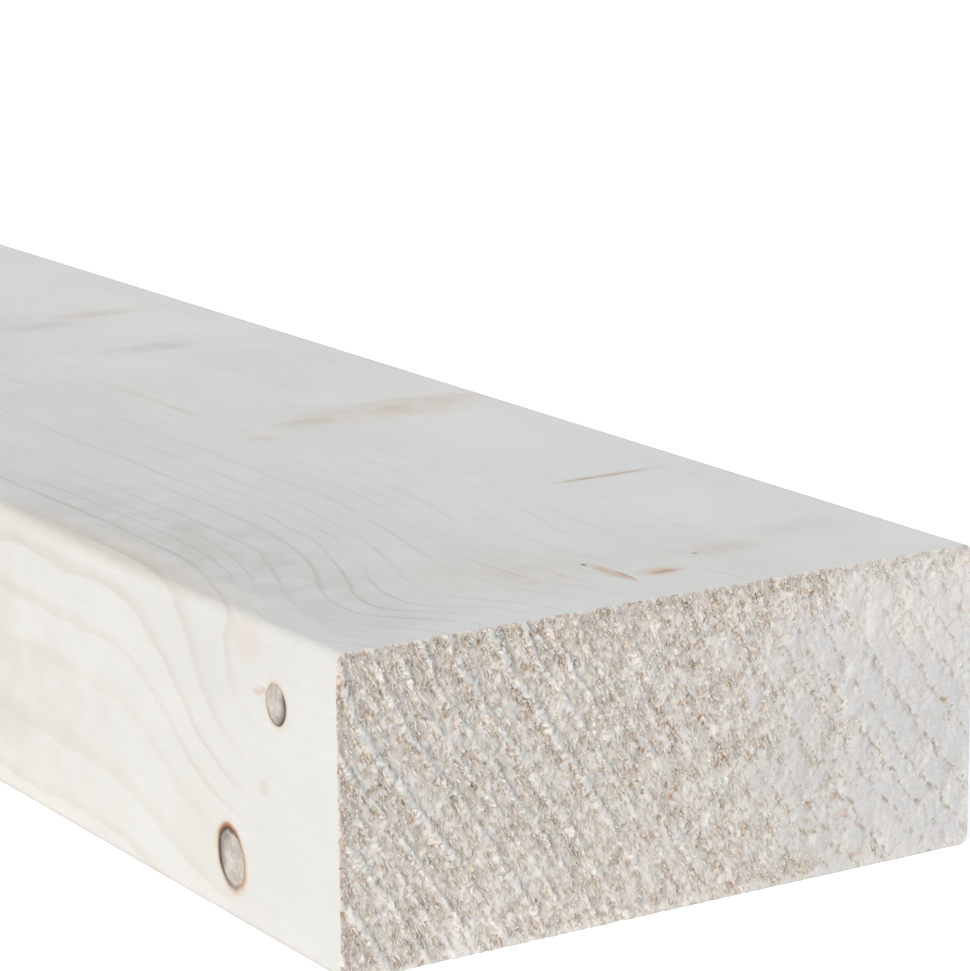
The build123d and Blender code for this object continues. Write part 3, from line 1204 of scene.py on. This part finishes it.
        crisp = add(tree, "FunctionNodeCompare", {0: angle, 1: math.radians(self.crisp_angle)},
                    operation="GREATER_THAN", data_type="FLOAT")
        body = add(tree, "GeometryNodeSetShadeSmooth", {0: body, 1: crisp, 2: False}, domain="EDGE")
        sawn = add(tree, "GeometryNodeInputNamedAttribute", {0: "sawn"}, data_type="BOOLEAN")
        body = add(tree, "GeometryNodeRealizeInstances", {0: body})
        body = add(tree, "GeometryNodeSetMaterial", {0: body, 2: given.outputs["Planed"]})
        body = add(tree, "GeometryNodeSetMaterial", {0: body, 1: sawn, 2: given.outputs["Sawn"]})
        add(tree, "NodeGroupOutput", {0: body})
        return tree

    def _roughness(self, tree: Tree, place: Socket, ridge: Socket) -> tuple[Socket, Socket]:
        """Add the share of torn wood: most towards the near edge, least where the blade ran smooth and
        along the ribbons of hard summer wood.

        Args:
            tree: the geometry tree.
            place: the point, in millimetres.
            ridge: the share of summer wood.

        Returns:
            The share of torn wood, and the share of unbroken ribbon.
        """
        spot = add(tree, "ShaderNodeSeparateXYZ", {0: place}).node
        limits = dict(enumerate((spot.outputs["Y"], *self.torn_across, *self.torn_shares)))
        across = add(tree, "ShaderNodeMapRange", limits, interpolation_type=SMOOTH)
        limits = dict(enumerate((spot.outputs["Z"], *self.torn_above, 0.0, self.torn_above_share)))
        upper_rim = add(tree, "ShaderNodeMapRange", limits)
        lean = add(tree, "ShaderNodeMath", {0: across, 1: upper_rim}, operation="ADD")
        cloud = add(tree, "ShaderNodeTexNoise", {0: place, 2: self.rough_rate, 3: 3.0, 4: 0.65})
        limits = dict(enumerate((cloud, 0.3, 0.7, *self.rough_swing)))
        patchy = add(tree, "ShaderNodeMapRange", limits)
        total = add(tree, "ShaderNodeMath", {0: lean, 1: patchy}, operation="ADD")
        broken = add(tree, "ShaderNodeTexNoise", {0: place, 2: self.break_rate, 3: 2.0})
        limits = dict(enumerate((broken, *self.break_limits, *self.break_shares)))
        whole = add(tree, "ShaderNodeMapRange", limits)
        limits = dict(enumerate((spot.outputs["Y"], *self.ribbons_across)))
        standing = add(tree, "ShaderNodeMapRange", limits, interpolation_type=SMOOTH)
        lasting = add(tree, "ShaderNodeMath", {0: whole, 1: standing}, operation="MULTIPLY")
        ribbon = add(tree, "ShaderNodeMath", {0: ridge, 1: lasting}, operation="MULTIPLY")
        feeds = {0: ribbon, 1: -self.ribbon_hold, 2: 1.0}
        left = add(tree, "ShaderNodeMath", feeds, operation="MULTIPLY_ADD")
        torn = add(tree, "ShaderNodeMath", {0: total, 1: left}, operation="MULTIPLY")
        return add(tree, "ShaderNodeClamp", {0: torn, 1: self.least_torn, 2: 1.0}), ribbon

    def _tear(self, tree: Tree, given: bpy.types.Node, place: Socket, rough: Socket, ribbon: Socket,
              part: Socket) -> tuple[Socket, Socket]:
        """Add the depth of the torn surface below the saw's plane.

        Args:
            tree: the geometry tree.
            given: its node of inputs.
            place: the point, in millimetres.
            rough: the share of torn wood.
            ribbon: the share of unbroken summer wood, which stands proud.
            part: how far through its year the wood is, from 0 to 1.

        Returns:
            The depth in millimetres, and the share of torn-out pit.
        """
        leaning = math.atan2(self.timber.pith_across, self.timber.pith_height)
        turned = add(tree, "ShaderNodeVectorRotate", {0: place, 3: leaning}, rotation_type="X_AXIS")
        size = add(tree, "ShaderNodeMath", {0: 1.0, 1: given.outputs["Bundle Size"]}, operation="DIVIDE")
        drawn = add(tree, "ShaderNodeVectorMath", {0: turned, 1: self.bundle_stretch}, operation="MULTIPLY")
        bundles = add(tree, "ShaderNodeTexVoronoi", {0: drawn, 2: size}, out=1)
        luck = add(tree, "ShaderNodeSeparateXYZ", {0: bundles})
        dome = bundles.node.outputs["Distance"]
        feeds = {0: dome, 1: self.dome_share, 2: luck}
        domed = add(tree, "ShaderNodeMath", feeds, operation="MULTIPLY_ADD")
        fuzz = add(tree, "ShaderNodeTexNoise", {0: place, 2: self.fuzz_rate, 3: 2.0, 4: 0.6})
        feeds = {0: fuzz, 1: self.fuzz_share, 2: domed}
        clumps = add(tree, "ShaderNodeMath", feeds, operation="MULTIPLY_ADD")
        slope = add(tree, "ShaderNodeMapRange", {0: part, 1: 0.9, 2: 0.0, 3: 0.0, 4: self.ring_slope})
        sloped = add(tree, "ShaderNodeMath", {0: clumps, 1: slope}, operation="ADD")
        torn = add(tree, "ShaderNodeMath", {0: sloped, 1: rough}, operation="MULTIPLY")
        tooth = add(tree, "ShaderNodeTexNoise", {0: place, 2: self.tooth_rate, 3: 1.0, 4: 0.6})
        feeds = {0: tooth, 1: self.tooth_share, 2: torn}
        torn = add(tree, "ShaderNodeMath", feeds, operation="MULTIPLY_ADD")
        feeds = {0: ribbon, 1: -self.ribbon_proud, 2: 1.0}
        sunk = add(tree, "ShaderNodeMath", feeds, operation="MULTIPLY_ADD")
        torn = add(tree, "ShaderNodeMath", {0: torn, 1: sunk}, operation="MULTIPLY")
        long = add(tree, "ShaderNodeVectorMath", {0: turned, 1: self.tear_stretch}, operation="MULTIPLY")
        tears = add(tree, "ShaderNodeTexNoise", {0: long, 2: self.tear_rate, 3: 2.0, 4: 0.5})
        limits = dict(enumerate((tears, *self.hole_limits)))
        hole = add(tree, "ShaderNodeMapRange", limits, interpolation_type=SMOOTH)
        limits = dict(enumerate((part, *self.spring_limits, self.late_pits, 1.0)))
        early = add(tree, "ShaderNodeMapRange", limits, interpolation_type=SMOOTH)
        pit = add(tree, "ShaderNodeMath", {0: hole, 1: early}, operation="MULTIPLY")
        feeds = {0: pit, 1: self.pit_depth, 2: torn}
        ragged = add(tree, "ShaderNodeMath", feeds, operation="MULTIPLY_ADD")
        deep = add(tree, "ShaderNodeMath", {0: ragged, 1: given.outputs["Torn Depth"]}, operation="MULTIPLY")
        depth = add(tree, "ShaderNodeMath", {0: deep, 1: self._inner(tree, place)}, operation="MULTIPLY")
        limits = dict(enumerate((depth, *self.depth_limits)))
        return add(tree, "ShaderNodeClamp", limits), pit

    def _inner(self, tree: Tree, place: Socket) -> Socket:
        """Add a share that falls towards the rim, which the saw leaves nearly whole."""
        middle = add(tree, "ShaderNodeVectorMath", {0: place, 1: (0, 0, self.thickness / 2)},
                     operation="SUBTRACT")
        size = add(tree, "ShaderNodeVectorMath", {0: middle}, operation="ABSOLUTE")
        sides = add(tree, "ShaderNodeSeparateXYZ", {0: size}).node
        shares = []
        for axis, half in (("Y", self.width / 2), ("Z", self.thickness / 2)):
            limits = {0: sides.outputs[axis], 1: half, 2: half - self.rim_width, 3: self.rim_share, 4: 1.0}
            shares.append(add(tree, "ShaderNodeMapRange", limits, interpolation_type=SMOOTH))
        return add(tree, "ShaderNodeMath", {0: shares[0], 1: shares[1]}, operation="MINIMUM")

    def _sag(self, tree: Tree, given: bpy.types.Node, place: Socket, part: Socket, end: Socket) -> Socket:
        """Add the push that lets the upper face fall towards its near edge, in a step at each ring and most
        beside the front knots, where the planer took more off.

        Args:
            tree: the geometry tree.
            given: its node of inputs.
            place: the point, in millimetres.
            part: how far through its year the wood is, from 0 to 1.
            end: 1 or -1 at the ends, which stay where they are.

        Returns:
            The push in metres.
        """
        corner = self.timber.at(self.sag_place)
        offset = add(tree, "ShaderNodeVectorMath", {0: place, 1: corner}, operation="SUBTRACT")
        off = add(tree, "ShaderNodeSeparateXYZ", {0: offset}).node
        strip = add(tree, "ShaderNodeMapRange", {0: off.outputs["Y"], 1: self.sag_width, 2: 0.0})
        limits = {0: off.outputs["Z"], 1: -self.sag_width, 2: -self.edge_radius}
        high = add(tree, "ShaderNodeMapRange", limits)
        beside = add(tree, "ShaderNodeMath", {0: strip, 1: high}, operation="MULTIPLY")
        held = add(tree, "ShaderNodeMath", {0: end}, operation="ABSOLUTE")
        free = add(tree, "ShaderNodeMath", {0: 1.0, 1: held}, operation="SUBTRACT")
        amount = add(tree, "ShaderNodeMath", {0: beside, 1: free}, operation="MULTIPLY")
        along = add(tree, "ShaderNodeMath", {0: off.outputs["X"], 1: self.sag_length}, operation="DIVIDE")
        square = add(tree, "ShaderNodeMath", {0: along, 1: 2.0}, operation="POWER")
        falling = add(tree, "ShaderNodeMath", {0: square, 1: -1.0}, operation="MULTIPLY")
        local = add(tree, "ShaderNodeMath", {0: falling}, operation="EXPONENT")
        spring = add(tree, "ShaderNodeMath", {0: 1.0, 1: part}, operation="SUBTRACT")
        steps = {0: spring, 1: given.outputs["Step Depth"], 2: given.outputs["Sag Depth"]}
        deep = add(tree, "ShaderNodeMath", steps, operation="MULTIPLY_ADD")
        drop = add(tree, "ShaderNodeMath", {0: deep, 1: local, 2: self.rest_depth}, operation="MULTIPLY_ADD")
        fall = add(tree, "ShaderNodeMath", {0: drop, 1: amount}, operation="MULTIPLY")
        down = add(tree, "ShaderNodeMath", {0: fall, 1: -MM}, operation="MULTIPLY")
        return add(tree, "ShaderNodeCombineXYZ", {2: down})


@dataclass
class TornFibres:
    """The splinters that the saw left standing on one end."""

    end: End
    per_square_metre: float
    # A splinter is drawn as a strand of fibres, because a single fibre is too fine to show.
    fibre_length: float = 0.6
    fibre_width: float = 0.17
    seed: int = 7
    lean: Span = (20.0, 82.0)
    twist: float = 70.0
    lengths: Span = (0.45, 1.35)
    breadths: Span = (0.5, 1.4)
    thinness: float = 0.3
    roughness: Span = (0.25, 0.9)
    depths_tall: float = 1.5
    bend: float = 2.2

    def build(self, plank: Plank, torn: bpy.types.Object, fibre: bpy.types.Material) -> bpy.types.Object:
        """Stand splinters on the torn wood of this end.

        Args:
            plank: the plank's sizes.
            torn: the finished plank, whose end carries them.
            fibre: their material.

        Returns:
            The splinters as one plain mesh.
        """
        name = f"torn_fibres_{self.end.name.lower()}"
        fibres = bpy.data.objects.new(name, torn.data)
        bpy.context.scene.collection.objects.link(fibres)
        inputs = {
            "End": float(self.end.value),
            "Density": self.per_square_metre,
            "Fibre Length": self.fibre_length * MM,
            "Fibre Width": self.fibre_width * MM,
            "Seed": self.seed,
            "Fibre": fibre,
        }
        fibres.data = evaluated(fibres, self._tree(plank), inputs)
        fibres.data.name = name
        self._trim(plank, fibres.data)
        self._lay_map(fibres.data)
        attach(fibres, BODY)
        return fibres

    def _tree(self, plank: Plank) -> Tree:
        """Build the tree that scatters bent flakes over one torn end, mostly along its rings.

        Args:
            plank: the plank, whose rings they follow.

        Returns:
            The geometry tree.
        """
        kinds = {"End": "NodeSocketFloat", "Density": "NodeSocketFloat", "Fibre Length": "NodeSocketFloat",
                 "Fibre Width": "NodeSocketFloat", "Seed": "NodeSocketInt", "Fibre": "NodeSocketMaterial"}
        tree, given = geometry_tree(f"stand_fibres_{self.end.name.lower()}", kinds)
        seed = given.outputs["Seed"]
        end = add(tree, "GeometryNodeInputNamedAttribute", {0: "end"}, data_type="FLOAT")
        same = add(tree, "FunctionNodeCompare", {0: end, 1: given.outputs["End"], 12: 0.01},
                   operation="EQUAL", data_type="FLOAT")
        sawn = add(tree, "GeometryNodeInputNamedAttribute", {0: "sawn"}, data_type="BOOLEAN")
        both = add(tree, "FunctionNodeBooleanMath", {0: same, 1: sawn}, operation="AND")
        ground = add(tree, "GeometryNodeSeparateGeometry", {0: given.outputs["Geometry"], 1: both},
                     domain="FACE")
        rough = add(tree, "GeometryNodeInputNamedAttribute", {0: "rough"}, data_type="FLOAT")
        torn = add(tree, "ShaderNodeMapRange", dict(enumerate((rough, *self.roughness))))
        dense = add(tree, "ShaderNodeMath", {0: torn, 1: given.outputs["Density"]}, operation="MULTIPLY")
        points = add(tree, "GeometryNodeDistributePointsOnFaces",
                     {"Mesh": ground, "Density": dense, "Seed": seed}, distribute_method="RANDOM")
        splinter = self._splinter(tree)
        twist = math.atan2(plank.timber.pith_height, plank.timber.pith_across)
        low = (math.radians(self.lean[0]), 0.0, twist - math.radians(self.twist))
        high = (math.radians(self.lean[1]), 0.0, twist + math.radians(self.twist))
        turn = {0: low, 1: high, 8: seed}
        lean = add(tree, "FunctionNodeRandomValue", turn, data_type="FLOAT_VECTOR")
        leaning = add(tree, "FunctionNodeEulerToRotation", {0: lean})
        out = (0.0, math.radians(90) * self.end.value, 0.0)
        outward = add(tree, "FunctionNodeEulerToRotation", {0: out})
        facing = add(tree, "FunctionNodeRotateRotation", {0: outward, 1: leaning}, rotation_space="LOCAL")
        longer = {2: self.lengths[0], 3: self.lengths[1], 8: seed}
        length = add(tree, "FunctionNodeRandomValue", longer, out=1, data_type="FLOAT")
        usual = given.outputs["Fibre Length"]
        free = add(tree, "ShaderNodeMath", {0: length, 1: usual}, operation="MULTIPLY")
        depth = add(tree, "GeometryNodeInputNamedAttribute", {0: "depth"}, data_type="FLOAT")
        room = add(tree, "ShaderNodeMath", {0: depth, 1: self.depths_tall * MM}, operation="MULTIPLY")
        tall = add(tree, "ShaderNodeMath", {0: free, 1: room}, operation="MINIMUM")
        wider = {2: self.breadths[0], 3: self.breadths[1], 8: seed}
        broad = add(tree, "FunctionNodeRandomValue", wider, out=1, data_type="FLOAT")
        wide = add(tree, "ShaderNodeMath", {0: broad, 1: given.outputs["Fibre Width"]}, operation="MULTIPLY")
        thin = add(tree, "ShaderNodeMath", {0: wide, 1: self.thinness}, operation="MULTIPLY")
        size = add(tree, "ShaderNodeCombineXYZ", {0: wide, 1: thin, 2: tall})
        stood = add(tree, "GeometryNodeInstanceOnPoints",
                    {"Points": points, "Instance": splinter, "Rotation": facing, "Scale": size})
        tones = add(tree, "FunctionNodeRandomValue", {2: 0.0, 3: 1.0, 8: seed}, out=1, data_type="FLOAT")
        toned = add(tree, "GeometryNodeStoreNamedAttribute", {0: stood, 2: "tone", 3: tones},
                    data_type="FLOAT", domain="INSTANCE")
        real = add(tree, "GeometryNodeRealizeInstances", {0: toned})
        dressed = add(tree, "GeometryNodeSetMaterial", {0: real, 2: given.outputs["Fibre"]})
        add(tree, "NodeGroupOutput", {0: dressed})
        return tree

    def _splinter(self, tree: Tree) -> Socket:
        """Add one bent, tapering splinter of unit length and width, with its height stored on it."""
        cone = add(tree, "GeometryNodeMeshCone", {"Vertices": 4, "Side Segments": 1, "Radius Top": 0.5,
                                                  "Radius Bottom": 1.0, "Depth": 1.0})
        spot = add(tree, "GeometryNodeInputPosition")
        up = add(tree, "ShaderNodeSeparateXYZ", {0: spot}, out="Z")
        square = add(tree, "ShaderNodeMath", {0: up, 1: 2.0}, operation="POWER")
        aside = add(tree, "ShaderNodeMath", {0: square, 1: self.bend}, operation="MULTIPLY")
        bend = add(tree, "ShaderNodeCombineXYZ", {1: aside})
        marked = add(tree, "GeometryNodeStoreNamedAttribute", {0: cone, 2: "height", 3: up},
                     data_type="FLOAT", domain="POINT")
        return add(tree, "GeometryNodeSetPosition", {0: marked, 3: bend})

    def _trim(self, plank: Plank, mesh: bpy.types.Mesh) -> None:
        """Press splinters back to the saw's plane and inside the planed faces."""
        corners = np.zeros(len(mesh.vertices) * 3)
        mesh.vertices.foreach_get("co", corners)
        corners = corners.reshape(-1, 3)
        front = plank.timber.front_x * MM
        low = (-front, -plank.width / 2 * MM, 0.0)
        high = (front, plank.width / 2 * MM, plank.thickness * MM)
        mesh.vertices.foreach_set("co", np.clip(corners, low, high).ravel())
        mesh.update()

    def _lay_map(self, mesh: bpy.types.Mesh) -> None:
        """Map each point by what its colour depends on: its height and its splinter's tone."""
        values = []
        for name in ("height", "tone"):
            held = np.zeros(len(mesh.vertices))
            mesh.attributes[name].data.foreach_get("value", held)
            values.append(held)
        spots = np.zeros(len(mesh.loops), int)
        mesh.loops.foreach_get("vertex_index", spots)
        layer = mesh.uv_layers.new(name=BAKE_MAP)
        layer.data.foreach_set("uv", np.stack([v[spots] for v in values], -1).ravel())


@dataclass
class Studio:
    """A pale floor, soft light and the camera, none of them part of the plank."""

    plank: Plank
    focal_pixels: float = 3840.0
    photo_height: int = 971
    camera_place: Point = (-349.16, -245.59, 149.98)
    azimuth: float = 57.741
    elevation: float = 13.042
    roll: float = -0.506
    sensor: float = 36.0
    sky_strength: float = 0.41
    sky_light: str = "F0F7FF"
    backdrop: str = "FFFFFF"
    floor_colour: str = "E6E6E6"
    floor_reach: float = 60.0
    floor_lift: float = 0.6

    def build(self) -> None:
        """Make the floor, the light and the camera."""
        scene = bpy.context.scene
        scene.view_settings.view_transform = "Standard"
        self._floor()
        self._sky()
        self._lamp("key_light", (0.45, -0.78, 0.43), 2.05, "FFFCF8", 30.0)
        self._lamp("fill_light", (0.90, 0.25, 0.35), 0.22, "FFFFFF", 60.0)
        scene.camera = self._camera()

    def _camera(self) -> bpy.types.Object:
        """Place the camera as the photograph was taken, counted from the front end."""
        lens = bpy.data.cameras.new("camera")
        lens.sensor_width = self.sensor
        lens.lens = self.sensor * self.focal_pixels / self.photo_height
        lens.clip_start = 0.01
        lens.clip_end = 100.0
        azimuth, elevation = math.radians(self.azimuth), math.radians(self.elevation)
        level = math.cos(elevation)
        back = Vector((math.sin(azimuth) * level, -math.cos(azimuth) * level, math.sin(elevation)))
        right = Vector((math.cos(azimuth), math.sin(azimuth), 0.0))
        up = back.cross(right)
        turn = Matrix((right, up, back)).transposed() @ Matrix.Rotation(math.radians(self.roll), 3, "Z")
        camera = bpy.data.objects.new("camera", lens)
        place = self.plank.timber.at(self.camera_place) * MM
        camera.matrix_world = Matrix.Translation(place) @ turn.to_4x4()
        bpy.context.scene.collection.objects.link(camera)
        return camera

    def _lamp(self, name: str, towards: Point, strength: float, colour: str, spread: float) -> None:
        """Add a soft distant lamp.

        Args:
            name: the lamp's name.
            towards: the way from the plank to the lamp.
            strength: its light, in watts a square metre.
            colour: its sRGB hex colour.
            spread: how wide it looks, in degrees.
        """
        lamp = bpy.data.lights.new(name, "SUN")
        lamp.energy = strength
        lamp.angle = math.radians(spread)
        lamp.color = linear(colour)[:3]
        holder = bpy.data.objects.new(name, lamp)
        holder.rotation_euler = Vector(towards).to_track_quat("Z", "Y").to_euler()
        bpy.context.scene.collection.objects.link(holder)

    def _seen(self, tree: Tree) -> Socket:
        """Add a switch that is 1 for what the camera sees, itself or in gloss or glass."""
        path = add(tree, "ShaderNodeLightPath").node
        glossy = add(tree, "ShaderNodeMath", {0: path.outputs["Is Camera Ray"],
                                              1: path.outputs["Is Glossy Ray"]}, operation="MAXIMUM")
        return add(tree, "ShaderNodeMath", {0: glossy, 1: path.outputs["Is Transmission Ray"]},
                   operation="MAXIMUM")

    def _sky(self) -> None:
        """Light the plank evenly from all round, and show white behind it."""
        world = bpy.data.worlds.new("studio")
        bpy.context.scene.world = world
        world.use_nodes = True
        tree = world.node_tree
        tree.nodes.clear()
        seen = self._seen(tree)
        strength = add(tree, "ShaderNodeMapRange", {0: seen, 3: self.sky_strength, 4: 1.0})
        colours = {0: seen, 6: linear(self.sky_light), 7: linear(self.backdrop)}
        light = add(tree, "ShaderNodeMix", colours, out=2, data_type="RGBA")
        sky = add(tree, "ShaderNodeBackground", {0: light, 1: strength})
        add(tree, "ShaderNodeOutputWorld", {0: sky})

    def _floor(self) -> None:
        """Lay a matt white floor that keeps the plank's shadow and looks white elsewhere."""
        reach = self.floor_reach
        mesh = bpy.data.meshes.new("floor")
        mesh.from_pydata([(-reach, -reach, 0), (reach, -reach, 0), (reach, reach, 0), (-reach, reach, 0)],
                         [], [(0, 1, 2, 3)])
        floor = bpy.data.objects.new("floor", mesh)
        bpy.context.scene.collection.objects.link(floor)
        material, tree = empty_material("matt_white_floor")
        matt = add(tree, "ShaderNodeBsdfDiffuse", {0: linear(self.floor_colour)})
        lift = add(tree, "ShaderNodeMath", {0: self._seen(tree), 1: self.floor_lift}, operation="MULTIPLY")
        glow = add(tree, "ShaderNodeEmission", {1: lift})
        both = add(tree, "ShaderNodeAddShader", {0: matt, 1: glow})
        add(tree, "ShaderNodeOutputMaterial", {0: both})
        mesh.materials.append(material)


def main() -> None:
    """Build the plank, its splinters and the studio, in that order, and report each piece."""
    logging.basicConfig(level=logging.INFO, format="%(name)s: %(message)s")
    low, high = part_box(NODE)
    length, width, thickness = (high - low) * PER_METRE
    timber = Timber(front_x=high.x * PER_METRE)
    plank = Plank(timber, length, width, thickness)
    sawn_plank = plank.build(PlanedSpruce(timber).material(), SawnSpruce(timber).material())
    fibre = TornFibre().material()
    front = TornFibres(End.FRONT, per_square_metre=5.0e6)
    rear = TornFibres(End.REAR, per_square_metre=2.0e6, seed=11)
    pieces = [sawn_plank, *(fibres.build(plank, sawn_plank, fibre) for fibres in (front, rear))]
    for piece in pieces:
        LOG.info("%s: %d faces", piece.name, len(piece.data.polygons))
    Studio(plank).build()


if __name__ == "__main__":
    main()
